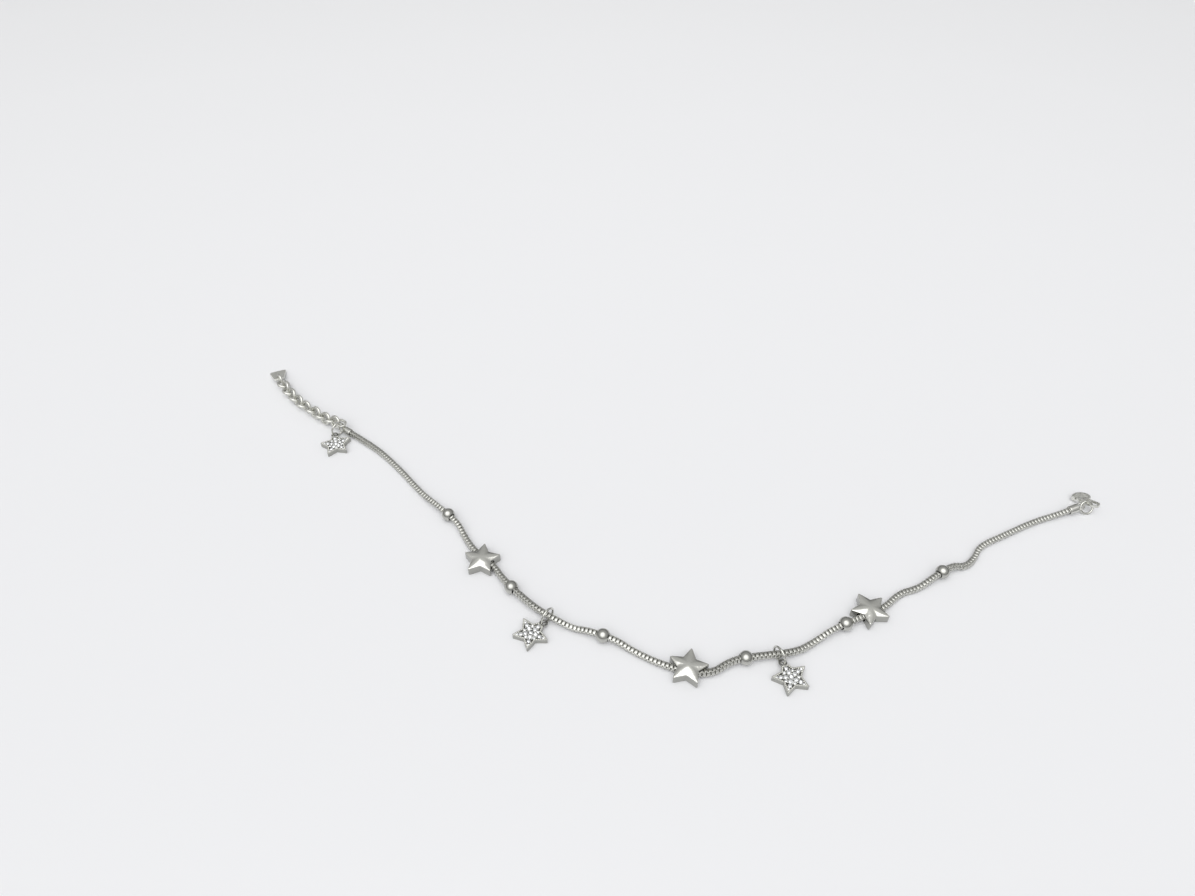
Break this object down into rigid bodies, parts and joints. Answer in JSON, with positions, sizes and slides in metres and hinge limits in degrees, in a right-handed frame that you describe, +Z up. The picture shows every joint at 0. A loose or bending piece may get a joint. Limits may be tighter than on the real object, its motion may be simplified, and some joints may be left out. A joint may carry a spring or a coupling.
{
  "type": "charm anklet",
  "caption": "Silver anklet of fine box chain threaded with round and star beads, hung with small paved star charms, with a lobster clasp and an extender chain, lying open.",
  "frame": {"origin": "middle of the anklet's bounding box, on the surface that it lies on", "axes": "+Z up from the surface, +X along the anklet from its extender end to its clasp end, +Y from the bowed front with the charms towards the open side"},
  "size_m": [0.221, 0.1064, 0.0043],
  "materials": {
    "box_chain_silver": "polished silver box chain, darker between its links",
    "cable_chain_silver": "polished silver cable links",
    "bead_silver": "mirror polished silver",
    "star_silver": "polished silver with soft ridges",
    "charm_silver": "cast silver, polished rim",
    "charm_stone": "clear faceted stones in a silver bed",
    "finding_silver": "polished silver findings"
  },
  "bodies": {
    "anklet": {"ball_bead_1": "bead_silver", "ball_bead_2": "bead_silver", "ball_bead_3": "bead_silver", "ball_bead_4": "bead_silver", "ball_bead_5": "bead_silver", "ball_bead_6": "bead_silver", "box_chain": "box_chain_silver", "charm_ring_2": "finding_silver", "charm_ring_3": "finding_silver", "clasp_body": "finding_silver", "clasp_pin": "finding_silver", "clasp_ring": "finding_silver", "end_cap_clasp": "finding_silver", "end_cap_extender": "finding_silver", "extender_chain": "cable_chain_silver", "extender_tag": "finding_silver", "join_ring": "finding_silver", "star_bead_1": "star_silver", "star_bead_2": "star_silver", "star_bead_3": "star_silver", "star_charm_1": "charm_silver", "star_charm_2": "charm_silver", "star_charm_3": "charm_silver"},
    "lever": {"clasp_lever": "finding_silver"}
  },
  "joints": [
    {"name": "lever_hinge", "type": "hinge", "parent": "anklet", "child": "lever", "pos_m": [0.10773, 0.00003, 0.00165], "axis": [0.1914, -0.2634, -0.9455], "range_deg": [0, 25], "stiffness_Nm_per_rad": 0.0002, "springref_deg": -28.65}
  ]
}
